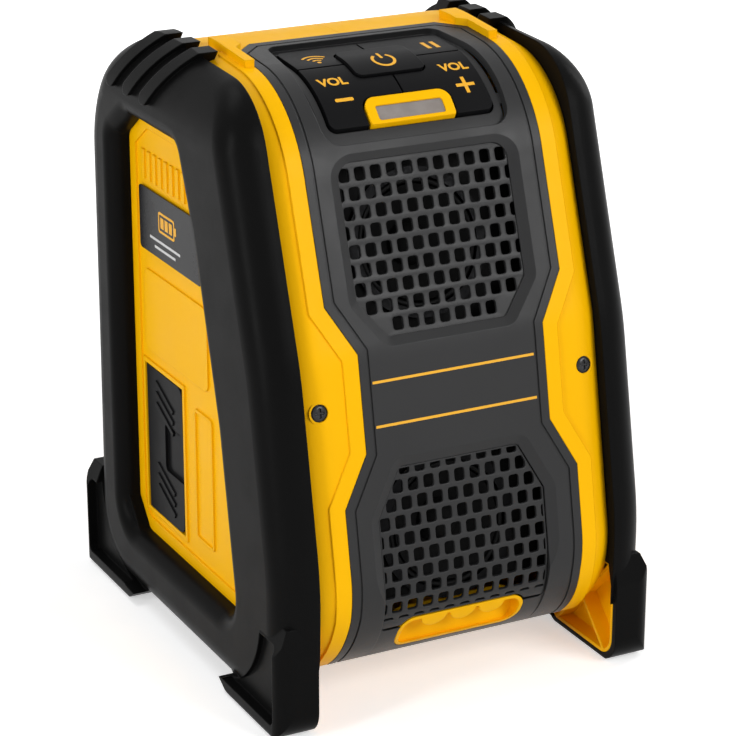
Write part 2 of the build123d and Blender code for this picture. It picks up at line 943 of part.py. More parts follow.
def guard_ribs():
    # raised ribs that lean back from the top of the guard down its outer side
    ribs = Part()
    tall = rib_top_z - rib_low_z
    for index in range(rib_count):
        y = rib_first_y + index * rib_pitch
        corners = [
            (y, rib_top_z), (y + tall * rib_slope_share, rib_low_z),
            (y + tall * rib_slope_share + rib_width, rib_low_z), (y + rib_width, rib_top_z),
        ]
        face = rounded_face(corners, [0, rib_end_round, rib_end_round, 0])
        ribs += side_band(face, rib_inner_x, guard_outer_x + rib_height)
    cap = side_band(guard_face(rib_height), rib_inner_x, guard_outer_x + rib_height)
    return ribs & cap & guard_front_prism(rib_height)


def foot_side_face(front, inset):
    back_sign = 1 if front else -1
    face_y = foot_front_y if front else foot_rear_y
    back_y = front_foot_back_y if front else rear_foot_front_y
    ramp_y = front_foot_ramp_y if front else rear_foot_ramp_y
    corners = [
        (face_y, 0), (back_y, 0), (ramp_y, foot_ramp_z),
        (face_y + back_sign * foot_top_depth, foot_shoulder_z),
        (face_y + back_sign * foot_set_back, foot_shoulder_z),
        (face_y, foot_face_z),
    ]
    small = foot_edge_round
    face = rounded_face(corners, [foot_toe_round, small, small, small, 0, small])
    return offset(face, -inset) if inset else face


def foot_front_face():
    corners = [
        (foot_inner_x, 0), (foot_outer_x, 0), (foot_outer_x, foot_face_z),
        (guard_outer_x - foot_set_back, foot_shoulder_z), (foot_inner_x, foot_shoulder_z),
    ]
    small = foot_edge_round
    return rounded_face(corners, [small / 2, small, small, 0, 0])


def foot_corner(front, outer, radius):
    # what rounding an upright edge of a foot takes away
    into = 1 if front else -1
    aside = 1 if outer else -1
    x = (foot_outer_x if outer else foot_inner_x) - aside * radius
    y = (foot_front_y if front else foot_rear_y) + into * radius
    size = radius + overrun
    square = Pos(x + aside * size / 2, y - into * size / 2) * Rectangle(size, size)
    return extrude(square - Pos(x, y) * Circle(radius), foot_shoulder_z + overrun)


def ledge_disc(front):
    # the round corner of the guard's frame, where its side stands over the foot
    y = front_ledge_y if front else rear_ledge_y
    return Pos(y, ledge_z) * Circle(ledge_radius)


def foot_pocket(front):
    back_sign = 1 if front else -1
    rim_y = (foot_front_y if front else foot_rear_y) + back_sign * foot_rim
    end_y = front_pocket_back_y if front else rear_pocket_front_y
    corners = [(rim_y, foot_rim_z), (end_y, foot_rim_z), (end_y, pocket_top_z), (rim_y, pocket_top_z)]
    face = rounded_face(corners, [foot_edge_round, 0, 0, foot_edge_round]) - ledge_disc(front)
    return side_band(face, foot_outer_x - pocket_depth, far_size)


def foot(front):
    side = side_band(foot_side_face(front, 0), foot_inner_x, foot_outer_x)
    block = side & extrude(Plane.XZ * foot_front_face(), foot_rear_y + overrun, both=True)
    block = block - foot_corner(front, True, foot_outer_round)
    block = block - foot_corner(front, False, foot_inner_round)
    return block - side_band(ledge_disc(front), guard_outer_x - pocket_depth, far_size)


def foot_core(front):
    # yellow core, open and cross-ribbed towards the middle of the speaker
    outline = foot_side_face(front, core_inset)
    core = side_band(outline, foot_inner_x, core_outer_x) - rounded_body(shell_wall)
    hollow = side_band(foot_side_face(front, core_inset + core_rib), foot_inner_x,
                       foot_inner_x + core_depth)
    middle = outline.center()
    ribs = Sketch()
    for turn in (45, -45):
        ribs += Pos(middle.X, middle.Y) * Rot(0, 0, turn) * Rectangle(far_size, core_rib)
    ribs = side_band(ribs & outline, foot_inner_x, foot_inner_x + core_depth)
    return core - (hollow - ribs)


def guard():
    # the right guard with both its feet; the left one is its mirror image
    solid = guard_blank() + guard_ribs()
    solid = solid + foot(True) + foot(False)
    solid = solid - foot_pocket(True) - foot_pocket(False) - rounded_body(-guard_fit)
    for front in (True, False):
        core = side_band(foot_side_face(front, core_inset - guard_fit), 0, core_outer_x + guard_fit)
        solid = solid - core
    return solid


def driver_plane(upper):
    run = upper_driver_run if upper else -lower_driver_run
    plane = upper_plane if upper else lower_plane
    return plane * Pos(0, run, -baffle_inset)


def turned(place, points):
    # a solid of revolution about the driver's axis, from radius and height points
    face = make_face(Polyline(*points, close=True))
    return place * revolve(Plane.XZ * face, Axis.Z)


def driver_basket(place):
    rim, wall, mouth = driver_rim_radius, driver_rim_wall, driver_mouth_radius
    deep, neck = driver_basket_depth, driver_neck_radius
    return turned(place, [
        (mouth, wall), (rim, wall), (rim, 0), (mouth + wall, 0), (neck + wall, wall - deep),
        (neck + wall, -deep), (driver_pole_radius + 2 * wall, -deep),
        (driver_pole_radius + 2 * wall, wall - deep), (neck, wall - deep), (mouth, 0),
    ])


def driver_surround(place):
    outer, inner = driver_mouth_radius - driver_gap / 2, driver_cone_radius + driver_gap
    half = (outer - inner) / 2
    face = Pos((outer + inner) / 2, 0) * (Circle(half) - Circle(half / 2))
    face = face & rectangle_between(inner, outer, 0, half)
    return place * revolve(Plane.XZ * face, Axis.Z)


def driver_cone(place):
    outer, deep, wall = driver_cone_radius, driver_cone_depth, driver_cone_wall
    coil, thin = driver_coil_radius, driver_coil_wall
    cone = turned(place, [
        (outer, 0), (outer, wall), (coil, wall - deep), (coil, -deep - driver_coil_length),
        (coil + thin, -deep - driver_coil_length), (coil + thin, -deep),
    ])
    cap = place * Pos(0, 0, -deep) * (Sphere(driver_cap_radius) - Sphere(driver_cap_radius - wall))
    above = place * Pos(0, 0, -deep + far_size / 2) * Box(far_size, far_size, far_size)
    return cone + (cap & above)


def driver_magnet(place):
    back = -driver_basket_depth
    ring = turned(place, [
        (driver_coil_radius + driver_coil_wall + driver_gap, back),
        (driver_magnet_radius, back),
        (driver_magnet_radius, back - driver_magnet_wall),
        (driver_coil_radius + driver_coil_wall + driver_gap, back - driver_magnet_wall),
    ])
    return ring


def driver_yoke(place):
    back = -driver_basket_depth - driver_magnet_wall
    return turned(place, [
        (0, back - driver_plate_wall), (driver_magnet_radius, back - driver_plate_wall),
        (driver_magnet_radius, back), (driver_pole_radius, back),
        (driver_pole_radius, -driver_basket_depth + driver_plate_wall),
        (0, -driver_basket_depth + driver_plate_wall),
    ])


def baffle():
    upper = upper_plane * Pos(0, 0, -baffle_inset)
    lower = lower_plane * Pos(0, 0, -baffle_inset)
    half = body_half_width - shell_wall - baffle_fit
    top = extrude(upper * rectangle_between(-half, half, 0, baffle_top_run), -baffle_wall)
    low = extrude(lower * rectangle_between(-half, half, -baffle_low_run, 0), -baffle_wall)
    plate = top + low
    for is_upper in (True, False):
        place = driver_plane(is_upper)
        hole = extrude(place * Circle(driver_mouth_radius + driver_rim_wall + driver_gap),
                       2 * baffle_wall, both=True)
        plate = plate - hole
    return plate & rounded_body(shell_wall + baffle_fit)


def main_board():
    place = Pos(0, main_board_y, belly_z + main_board_height / 2)
    board = place * Box(2 * main_board_half_width, main_board_wall, main_board_height)
    return board & rounded_body(shell_wall + baffle_fit)


def write(name, solid):
    export_step(solid, f"parts/{name}.step")


driver_nodes = {
    "basket": driver_basket,
    "surround": driver_surround,
    "cone": driver_cone,
    "magnet": driver_magnet,
    "yoke": driver_yoke,
}


def screw(length):
    head = Pos(0, 0, -screw_head_height / 2) * Cylinder(screw_head_radius, screw_head_height)
    shank = Pos(0, 0, -length / 2) * Cylinder(screw_shank_radius, length)
    return head + shank


def front_screw_plane(side):
    # on the lower sloping face, square to it, just under the housing's surface
    low, high = (chin_y, chin_z), (waist_y, waist_z)
    share = (front_screw_z - low[1]) / (high[1] - low[1])
    y = low[0] + share * (high[0] - low[0])
    plane = leaning_plane(low, high)
    at = Plane(origin=(side * front_screw_x, y, front_screw_z), x_dir=(1, 0, 0), z_dir=plane.z_dir)
    return at.offset(-front_drop - screw_sink)


def rear_screw_planes():
    places = []
    for side in (-1, 1):
        for z in (rear_screw_low_z, rear_screw_high_z):
            origin = (side * rear_screw_x, rear_y - front_drop - screw_sink, z)
            places.append(Plane(origin=origin, x_dir=(1, 0, 0), z_dir=(0, 1, 0)))
    return places


def screw_planes():
    return [front_screw_plane(-1), front_screw_plane(1)] + rear_screw_planes()


def screw_group(places):
    screws = Part()
    for place in places:
        screws += place * screw(screw_length)
    return screws


def screw_bosses():
    bosses = Part()
    for place in screw_planes():
        bosses += extrude(place * Circle(screw_boss_radius), -screw_length)
    return bosses


def screw_holes():
    holes = Part()
    fit = screw_hole_fit
    for place in screw_planes():
        holes += extrude(place.offset(-screw_head_height) * Circle(screw_head_radius + fit), far_size / 4)
        holes += extrude(place * Circle(screw_shank_radius + fit), -screw_length - fit)
    return holes


def housing_halves():
    whole = housing() + bay_walls() + screw_bosses()
    whole = whole - bay_space() - screw_holes()
    for front in (True, False):
        core = foot_core(front)
        whole = whole + core + mirror(core, about=Plane.YZ)
    left = split_half(whole, -1)
    right = split_half(whole, 1)
    left = left + port_walls() - port_space() - port_barrel_space()
    return left, right


def port_hinge():
    # the hinge line stands inside the back edge of the door's recess
    x = port_knuckle_radius - body_half_width
    y = port_rear_y - port_cover_gap - port_knuckle_radius
    return Pos(x, y, (port_low_z + port_top_z) / 2)


def port_cover():
    # the door lies in its recess and swings out about its back edge
    gap = port_cover_gap
    low, high = port_low_z + gap, port_top_z - gap
    hinge_y = port_rear_y - gap - port_knuckle_radius
    corners = [(port_front_y + gap, low), (hinge_y, low), (hinge_y, high), (port_front_y + gap, high)]
    face = rounded_face(corners, [port_cover_round, 0, 0, port_cover_round])
    door = side_band(face, -body_half_width, port_cover_wall - body_half_width)
    door += port_hinge() * Cylinder(port_knuckle_radius, high - low)
    door -= port_hinge() * Cylinder(port_pin_radius + port_pin_fit, 2 * (high - low))
    pocket = rounded_face([
        (port_front_y, port_pocket_low_z), (port_pocket_rear_y, port_pocket_low_z),
        (port_pocket_rear_y, port_pocket_top_z), (port_front_y, port_pocket_top_z),
    ], [0, port_cover_wall, port_cover_wall, 0])
    door -= side_band(pocket, -body_half_width - overrun, port_pocket_depth - body_half_width)
    middle_y = (port_front_y + hinge_y) / 2
    for index in range(port_grip_count):
        for base, sign in ((port_low_z, 1), (port_top_z, -1)):
            z = base + sign * ((index + 1) * port_grip_pitch + port_cover_round)
            grip = Box(2 * port_grip_height, port_grip_long, port_grip_wide)
            door += Pos(-body_half_width, middle_y, z) * Rot(port_grip_lean, 0, 0) * grip
    return door


def port_hinge_pin():
    return port_hinge() * Cylinder(port_pin_radius, port_top_z - port_low_z + 2 * port_pin_reach)


def port_barrel_space():
    barrel = Cylinder(port_knuckle_radius + port_cover_gap, port_top_z - port_low_z)
    return port_hinge() * barrel + port_hinge_pin()


def socket(z):
    x = port_depth - socket_stand - body_half_width
    place = Plane(origin=(x, socket_y, z), x_dir=(0, 1, 0), z_dir=(1, 0, 0))
    body = extrude(place * Circle(socket_radius), socket_stand)
    bore = extrude(place * Circle(socket_bore_radius), socket_stand)
    return body - bore


def label_plate():
    low, high, y0, y1 = label_low_z, label_top_z, label_front_y, label_rear_y
    lean = (high - low) * label_lean_share
    corners = [(y0, low), (y1, low), (y1, high), (y0 + lean, high)]
    face = rounded_face(corners, label_corner)
    return side_band(face, -body_half_width - label_wall, -body_half_width)


def terminal_block():
    y = bay_front_y + bay_wall
    z = terminal_low_z + terminal_height / 2
    block = Pos(0, y + terminal_depth / 2, z) * \
        Box(2 * terminal_half_width, terminal_depth, terminal_height)
    for index in range(blade_count):
        x = (index - (blade_count - 1) / 2) * blade_pitch
        slot = Pos(x, y + terminal_depth, z)
        block -= slot * Box(2 * blade_wall, 2 * blade_reach + overrun, terminal_height)
    return block


def terminal_blades():
    blades = Part()
    y = bay_front_y + bay_wall + terminal_depth
    z = terminal_low_z + terminal_height / 2
    for index in range(blade_count):
        x = (index - (blade_count - 1) / 2) * blade_pitch
        reach = blade_reach + overrun / 2
        blades += Pos(x, y - reach / 2, z) * Box(blade_wall, reach, blade_width)
    return blades


def heat_sink():
    face_y = main_board_y + main_board_wall / 2
    z = heat_sink_z
    base = Pos(0, face_y + heat_sink_fin / 2, z) * \
        Box(heat_sink_width, heat_sink_fin, heat_sink_height)
    step = (heat_sink_width - heat_sink_fin) / (heat_sink_fins - 1)
    for index in range(heat_sink_fins):
        x = index * step - (heat_sink_width - heat_sink_fin) / 2
        base += Pos(x, face_y + heat_sink_depth / 2, z) * \
            Box(heat_sink_fin, heat_sink_depth, heat_sink_height)
    return base


def capacitors():
    group = Part()
    face_y = main_board_y - main_board_wall / 2
    for side in (-1, 1):
        place = Plane(origin=(side * capacitor_pitch, face_y, heat_sink_z),
                      x_dir=(1, 0, 0), z_dir=(0, -1, 0))
        group += extrude(place * Circle(capacitor_radius), capacitor_length)
    return group


write("front_panel", front_panel())
write("upper_grille", upper_grille())
write("lower_grille", lower_grille())
write("finger_scoop", finger_scoop())
for name, face in key_faces().items():
    write(name, key(name, face))
write("lens_bezel", lens_bezel())
write("status_lens", status_lens())
write("keypad_board", keypad_board())
write("key_switches", key_switches())
write("status_led", status_led())
write("baffle", baffle())
for label, is_upper in (("upper", True), ("lower", False)):
    for part_name, make in driver_nodes.items():
        write(f"{label}_speaker_{part_name}", make(driver_plane(is_upper)))
write("main_board", main_board())
write("port_cover", port_cover())
write("port_hinge_pin", port_hinge_pin())
write("aux_socket", socket(aux_z))
write("power_socket", socket(power_socket_z))
write("label_plate", label_plate())
write("terminal_block", terminal_block())
write("terminal_blades", terminal_blades())
write("heat_sink", heat_sink())
write("capacitors", capacitors())
write("front_screws", screw_group([front_screw_plane(-1), front_screw_plane(1)]))
write("rear_screws", screw_group(rear_screw_planes()))
right_guard = guard()
write("right_guard", right_guard)
write("left_guard", mirror(right_guard, about=Plane.YZ))
left, right = housing_halves()
write("left_housing", left)
write("right_housing", right)
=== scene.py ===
import json
from math import atan2, cos, hypot, pi, radians, sin, tan

import bmesh
import bpy
from mathutils import Matrix, Vector
from mathutils.bvhtree import BVHTree


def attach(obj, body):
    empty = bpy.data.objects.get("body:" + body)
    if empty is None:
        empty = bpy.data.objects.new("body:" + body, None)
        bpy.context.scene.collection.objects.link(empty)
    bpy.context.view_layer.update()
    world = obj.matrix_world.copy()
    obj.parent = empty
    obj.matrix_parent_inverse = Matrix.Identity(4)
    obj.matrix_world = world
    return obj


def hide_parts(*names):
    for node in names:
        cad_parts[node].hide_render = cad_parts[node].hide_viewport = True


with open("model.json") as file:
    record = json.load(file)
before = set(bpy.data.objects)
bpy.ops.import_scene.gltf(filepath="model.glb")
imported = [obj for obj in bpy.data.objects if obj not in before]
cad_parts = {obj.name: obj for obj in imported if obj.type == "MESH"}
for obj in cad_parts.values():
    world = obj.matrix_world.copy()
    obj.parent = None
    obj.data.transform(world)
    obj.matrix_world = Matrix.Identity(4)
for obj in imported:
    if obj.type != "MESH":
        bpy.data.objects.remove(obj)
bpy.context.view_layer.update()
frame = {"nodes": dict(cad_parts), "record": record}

# Sizes and places are in millimetres, apart from those of the camera and the studio, in metres.
MM = 0.001

# camera, fitted to the photograph
CAMERA_PLACE = (-0.4994, -0.9814, 0.5218)
CAMERA_PITCH = 69.646
CAMERA_TURN = -27.25
CAMERA_LENS = 132.83
SENSOR_WIDTH = 36.0
CLIP_NEAR = 0.01
CLIP_FAR = 50.0

# studio: each lamp has a place, a size and a power in watts
LAMPS = {
    "front_light": ((0.7, -1.45, 1.0), (0.8, 0.8), 16.0),
    "left_light": ((-1.25, -0.4, 0.55), (0.2, 1.0), 8.0),
    "top_light": ((-0.3, 0.5, 1.5), (0.9, 0.6), 6.0),
    "right_light": ((1.4, 0.1, 0.8), (0.4, 0.9), 6.0),
}
LAMP_TARGET = (0.0, 0.0, 0.13)
WORLD_LIGHT = 0.26
FLOOR_SIZE = 12.0
FLOOR_GLOW = 0.5
SHADOW_REACH = (0.35, 1.1)
FLOOR_LOW = (0.86, 0.86, 0.86)
FLOOR_HIGH = (0.9, 0.9, 0.9)

# noise in the materials, in turns per metre, and the parts of its range that shade them
MOTTLE_SCALE = 14.0
GLOSS_SCALE = 60.0
WAVE_SCALE = 90.0
METAL_SHADE_SCALE = 300.0
METAL_GLOSS_SCALE = 700.0
METAL_GRAIN_SCALE = 900.0
SHADE_STOPS = (0.35, 0.65)
GLOSS_STOPS = (0.3, 0.7)

# planes that the artwork is laid out on: a point, the way across and the way along
TRAY = ((0.0, -39.7, 249.5), (1.0, 0.0, 0.0), (0.0, 0.857, 0.515))
WAIST = ((0.0, -85.2, 154.1), (1.0, 0.0, 0.0), (0.0, 0.185, 0.983))
LEFT_SIDE = ((-76.0, 0.0, 0.0), (0.0, -1.0, 0.0), (0.0, 0.0, 1.0))

# how the artwork is laid on a surface: its height over it, its longest edge and its rays
INK_LIFT = 0.08
INK_EDGE = 1.6
INK_PASSES = 3
INK_RAY_START = 20.0
INK_RAY = 60.0

# legends on the keys: bars as (u0, v0, u1, v1, radius), bands as (radius, line, start, end)
POWER_AT = (0.5, 16.0)
POWER_RING = (4.6, 1.3, 125, 415)
POWER_STROKE = (-0.65, 1.2, 0.65, 6.2, 0.6)
PAUSE_AT = (28.5, 26.3)
PAUSE_STROKES = ((-3.0, -3.6, -1.1, 3.6), (1.1, -3.6, 3.0, 3.6))
WAVES_AT = (-25.0, 25.5)
WAVE_RADII = (2.6, 4.9, 7.2)
WAVE_LINE = 1.0
WAVE_SPAN = (45, 135)
WAVE_DOT = (0.45, 0.9, 0, 359)
WAVE_CENTRE = (0.0, -3.4)
WAVE_STEPS = 12
VOLUME_SPREAD = 27.6
VOLUME_SHIFT = 0.4
VOLUME_RUN = 6.0
VOLUME_SIZE = 6.5
STROKE_WEIGHT = 0.034
MINUS_AT = (-26.5, -4.4)
MINUS_STROKE = (-4.1, -0.85, 4.1, 0.85, 0.7)
PLUS_AT = (28.5, -4.6)
PLUS_ARM = 4.2
PLUS_HALF_LINE = 0.8

# stripes on the waist band
STRIPE_HEIGHTS = (142.0, 124.3)
STRIPE_HALF_LENGTH = 37.0
STRIPE_HALF_LINE = 0.55

# battery sign and blank lines on the label
BATTERY_AT = (-24.0, 181.5)
BATTERY_CASE = ((-8.5, -4.6, 8.5, 4.6, 1.4), (-7.4, -3.5, 7.4, 3.5, 0.8))
BATTERY_TIP = (8.5, -1.8, 10.2, 1.8, 0.5)
CELL_START = -6.2
CELL_END = -2.8
CELL_PITCH = 4.4
CELL_HALF_HEIGHT = 2.4
CELL_COUNT = 3
RULE_AT = (-26.0, 172.6)
RULE_PITCH = 3.2
RULE_HALF_LENGTHS = (16.0, 11.0)
RULE_HALF_LINE = 0.6

# screw heads, each over a CAD screw that a ray finds
SCREW_RADIUS = 3.3
SCREW_DOME = 0.7
SCREW_LIFT = 0.25
SCREW_SKIRT = 0.1
SCREW_RECESS = 0.75
SCREW_ARM = 2.0
SCREW_HALF_SLOT = 0.42
SCREW_SLOT_SLOPE = 0.24
SCREW_RINGS = 26
SCREW_STEPS = 96
SCREW_CORE_SHARE = 0.02
SCREW_RAY_START = 8.0
SCREW_RAY = 20.0
FRONT_SCREW = (60.7, -89.0, 133.7)
FRONT_SCREW_OUT = (0.0, -0.983, 0.185)
REAR_SCREW_X = 58.0
REAR_SCREW_Y = 90.0
REAR_SCREW_HEIGHTS = {"low": 34.0, "high": 190.0}
REAR_SCREW_OUT = (0.0, 1.0, 0.0)
SIDES = {"left": -1, "right": 1}

# outline of the front in side view, as (y, z)
BROW = (-51.1, 254.1)
WAIST_LINE = (-85.2, 154.1)
CHIN = (-106.8, 39.3)
KEEL = (-82.9, 20.2)
CHIN_RADIUS = 46.0

# grille plates: their wall, their holes and how finely they are bent
GRILLE_WALL = 1.6
GRILLE_SOFT = 0.2
HOLE_PITCH = 7.1
HOLE_WIDTH = 4.7
HOLE_HEIGHT = 5.4
HOLE_ROUND = 1.2
HOLE_STEPS = 4
BEND_STEP = 2.5
MERGE_REACH = 0.001
CUT_REACH = 0.0001
CREASE_ANGLE = 35

# rays that find the outer face of a CAD grille, and how many of its depths are averaged
DEPTH_COLUMNS = range(-32, 33)
DEPTH_RAY_START = 6.0
DEPTH_RAY = 12.0
DEPTH_BLEND = 2
RUN_RANGE = (50.0, 130.0)
RUN_PASSES = 30

# outlines as (u, run), where run is measured along the slope from the waist line
UPPER_CORNERS = ((-29.0, 2.2), (29.0, 2.2), (42.2, 18.8),
                 (42.2, 78.3), (-42.2, 78.3), (-42.2, 18.8))
UPPER_RADII = (3.0, 3.0, 3.0, 7.0, 7.0, 3.0)
UPPER_ROWS = (7, 10, 11, 12, 11, 12, 11, 12, 11)
UPPER_FIRST_ROW = 9.6
UPPER_ROW_PITCH = 7.62
LOWER_HALF = 38.3
LOWER_SHOULDER = 68.9
LOWER_TOP = 48.6
LOWER_TOP_HALF = 27.4
LOWER_EDGE_Z = 37.6
LOWER_ROWS = (8, 9, 10, 11, 12, 11, 12, 11, 12, 11)
LOWER_FIRST_ROW = 49.2
LOWER_ROW_PITCH = 7.35
LOWER_HOLE_HALF = 37.5
LOWER_HOLE_TOP = 49.4
LOWER_SHOULDER_RIM = 18.0
LAST_ROW_Z = 41.4
LAST_ROW_RIM = 0.65
SCOOP_END_X = 22.8
SCOOP_END_Z = 34.3
SCOOP_END_RADIUS = 7.1
SCOOP_STEP = 15

# ribbon inside the housing, behind the seam between its halves
TONGUE_MIDDLE = (20.0, 120.0)
TONGUE_REACH = 3.0
TONGUE_SLACK = 1.0
TONGUE_GAP = 0.05
TONGUE_JUMP = 6.0
TONGUE_RAY = 200.0


def add_camera():
    data = bpy.data.cameras.new("camera")
    data.lens = CAMERA_LENS
    data.sensor_width = SENSOR_WIDTH
    data.clip_start = CLIP_NEAR
    data.clip_end = CLIP_FAR
    camera = bpy.data.objects.new("camera", data)
    camera.location = CAMERA_PLACE
    camera.rotation_euler = (radians(CAMERA_PITCH), 0.0, radians(CAMERA_TURN))
    bpy.context.scene.collection.objects.link(camera)
    bpy.context.scene.camera = camera


class Look:
    """A material with short names for the shader nodes that it uses."""

    def __init__(self, name):
        self.material = bpy.data.materials.new(name)
        self.material.use_nodes = True
        self.tree = self.material.node_tree
        self.shader = self.tree.nodes["Principled BSDF"]
        self.place = self.add("ShaderNodeTexCoord").outputs["Object"]

    def add(self, kind, **values):
        node = self.tree.nodes.new(kind)
        for key, value in values.items():
            node.inputs[key].default_value = value
        return node

    def link(self, source, node, key):
        self.tree.links.new(source, node.inputs[key])

    def noise(self, scale, detail=2.0, roughness=0.5):
        node = self.add("ShaderNodeTexNoise", Scale=scale, Detail=detail, Roughness=roughness)
        self.link(self.place, node, "Vector")
        return node.outputs["Fac"]

    def ramp(self, source, stops, low, high):
        """A colour that goes from low to high between two values of the source."""
        node = self.add("ShaderNodeValToRGB")
        for element, place, colour in zip(node.color_ramp.elements, stops, (low, high)):
            element.position = place
            element.color = (*colour, 1.0)
        self.link(source, node, "Fac")
        return node.outputs["Color"]

    def bump(self, height, strength, distance, before):
        node = self.add("ShaderNodeBump", Strength=strength, Distance=distance)
        self.link(height, node, "Height")
        self.link(before, node, "Normal")
        return node.outputs["Normal"]


def moulded(name, colour, roughness, grain, depth, spread=0.06, round_edge=0.5, shine=0.5):
    """Moulded plastic: softened edges, a fine grain, faint marks and uneven gloss."""
    look = Look(name)
    dull = [channel * (1 - spread) for channel in colour]
    clear = [min(1.0, channel * (1 + spread)) for channel in colour]
    mottle = look.ramp(look.noise(MOTTLE_SCALE, 4.0), SHADE_STOPS, dull, clear)
    look.link(mottle, look.shader, "Base Color")
    gloss = look.noise(GLOSS_SCALE, 5.0, 0.65)
    low, high = roughness * 0.88, roughness * 1.15
    look.link(look.ramp(gloss, GLOSS_STOPS, [low] * 3, [high] * 3), look.shader, "Roughness")
    look.shader.inputs["Specular IOR Level"].default_value = shine
    edge = look.add("ShaderNodeBevel", Radius=round_edge * MM)
    edge.samples = 4
    fine = look.bump(look.noise(grain, 2.0), depth, 0.0001, edge.outputs["Normal"])
    broad = look.bump(look.noise(WAVE_SCALE, 3.0), 0.05, 0.0003, fine)
    look.link(broad, look.shader, "Normal")
    return look.material


def metal(name, colour, roughness):
    """Bare or blackened metal: uneven shade and gloss, a fine grain and softened edges."""
    look = Look(name)
    look.shader.inputs["Metallic"].default_value = 1.0
    dull = [channel * 0.85 for channel in colour]
    shade = look.ramp(look.noise(METAL_SHADE_SCALE, 3.0), SHADE_STOPS, dull, colour)
    look.link(shade, look.shader, "Base Color")
    low, high = roughness * 0.8, roughness * 1.2
    rough = look.ramp(look.noise(METAL_GLOSS_SCALE, 3.0), GLOSS_STOPS, [low] * 3, [high] * 3)
    look.link(rough, look.shader, "Roughness")
    edge = look.add("ShaderNodeBevel", Radius=0.2 * MM)
    grain = look.bump(look.noise(METAL_GRAIN_SCALE), 0.1, 0.0001, edge.outputs["Normal"])
    look.link(grain, look.shader, "Normal")
    return look.material


def frosted(name, low, high):
    """Milky plastic that lets a little light in."""
    look = Look(name)
    look.link(look.ramp(look.noise(160.0, 3.0), GLOSS_STOPS, low, high), look.shader, "Base Color")
    look.shader.inputs["Roughness"].default_value = 0.32
    look.shader.inputs["Transmission Weight"].default_value = 0.15
    edge = look.add("ShaderNodeBevel", Radius=0.4 * MM)
    grain = look.bump(look.noise(500.0), 0.15, 0.0002, edge.outputs["Normal"])
    look.link(grain, look.shader, "Normal")
    return look.material


# one look for each material slot of the record
MATERIALS = {
    "yellow_shell": moulded("yellow_plastic", (1.0, 0.51, 0.0), 0.42, 2600.0, 0.10,
                            spread=0.015, round_edge=0.7, shine=0.08),
    "black_panel": moulded("panel_plastic", (0.016, 0.016, 0.0165), 0.4, 3000.0, 0.35, shine=0.24),
    "black_guard": moulded("guard_rubber", (0.0045, 0.0045, 0.0045), 0.34, 3000.0, 0.30,
                           round_edge=0.9, shine=0.03),
    "black_key": moulded("key_plastic", (0.007, 0.007, 0.0075), 0.34, 3000.0, 0.15, shine=0.045),
    "black_inner": moulded("inner_plastic", (0.004, 0.004, 0.004), 0.6, 2000.0, 0.1, shine=0.1),
    "circuit_board": moulded("circuit_board", (0.01, 0.09, 0.03), 0.4, 900.0, 0.1),
    "label_film": moulded("label_film", (0.007, 0.007, 0.008), 0.25, 3000.0, 0.05,
                          round_edge=0.2, shine=0.12),
    "rubber_surround": moulded("rubber_surround", (0.005, 0.005, 0.005), 0.5, 1200.0, 0.1,
                               shine=0.15),
    "paper_cone": moulded("paper_cone", (0.007, 0.007, 0.007), 0.7, 900.0, 0.6, shine=0.12),
    "clear_lens": frosted("frosted_lens", (0.24, 0.21, 0.19), (0.30, 0.265, 0.245)),
    "steel_pin": metal("steel_pin", (0.55, 0.55, 0.56), 0.3),
    "brass_contact": metal("brass_contact", (0.72, 0.5, 0.2), 0.3),
    "bare_aluminium": metal("bare_aluminium", (0.75, 0.75, 0.76), 0.4),
    "black_screw": metal("black_screw", (0.035, 0.035, 0.036), 0.3),
    "black_steel": metal("black_steel", (0.012, 0.012, 0.0125), 0.45),
    "iron_magnet": metal("iron_magnet", (0.22, 0.22, 0.23), 0.5),
}
INK = moulded("yellow_ink", (0.86, 0.42, 0.01), 0.5, 2600.0, 0.05, spread=0.03, round_edge=0.05)
PALE_INK = moulded("pale_ink", (0.62, 0.62, 0.62), 0.5, 2600.0, 0.05, spread=0.03, round_edge=0.05)


def dress_nodes():
    slots = {entry["node"]: entry["material_slot"] for entry in frame["record"]["subparts"]}
    for name, node in frame["nodes"].items():
        node.data.materials.clear()
        node.data.materials.append(MATERIALS[slots[name]])


def surface_of(name):
    """The surface of a CAD node, for rays."""
    node = frame["nodes"][name]
    points = [node.matrix_world @ vertex.co for vertex in node.data.vertices]
    return BVHTree.FromPolygons(points, [tuple(face.vertices) for face in node.data.polygons])


def new_piece(name, mesh, look):
    mesh.materials.clear()
    mesh.materials.append(look)
    piece = bpy.data.objects.new(name, mesh)
    bpy.context.scene.collection.objects.link(piece)
    return piece


def flat_curve(loops):
    """A filled flat curve of closed loops of (u, v) points."""
    data = bpy.data.curves.new("outline", "CURVE")
    data.dimensions = "2D"
    data.fill_mode = "BOTH"
    for loop in loops:
        spline = data.splines.new("POLY")
        spline.points.add(len(loop) - 1)
        for point, (u, v) in zip(spline.points, loop):
            point.co = (u, v, 0.0, 1.0)
        spline.use_cyclic_u = True
    return data


def lettering(text, size):
    data = bpy.data.curves.new("legend", "FONT")
    data.body = text
    data.size = size
    data.align_x = "CENTER"
    data.align_y = "CENTER"
    data.offset = size * STROKE_WEIGHT
    data.resolution_u = 4
    return data


def mesh_from(data):
    holder = bpy.data.objects.new("holder", data)
    bpy.context.scene.collection.objects.link(holder)
    bpy.context.view_layer.update()
    graph = bpy.context.evaluated_depsgraph_get()
    mesh = bpy.data.meshes.new_from_object(holder.evaluated_get(graph))
    bpy.data.objects.remove(holder)
    return mesh


def on_plane(plane, u, v):
    origin, across, along = plane
    return Vector([o + u * a + v * b for o, a, b in zip(origin, across, along)]) * MM


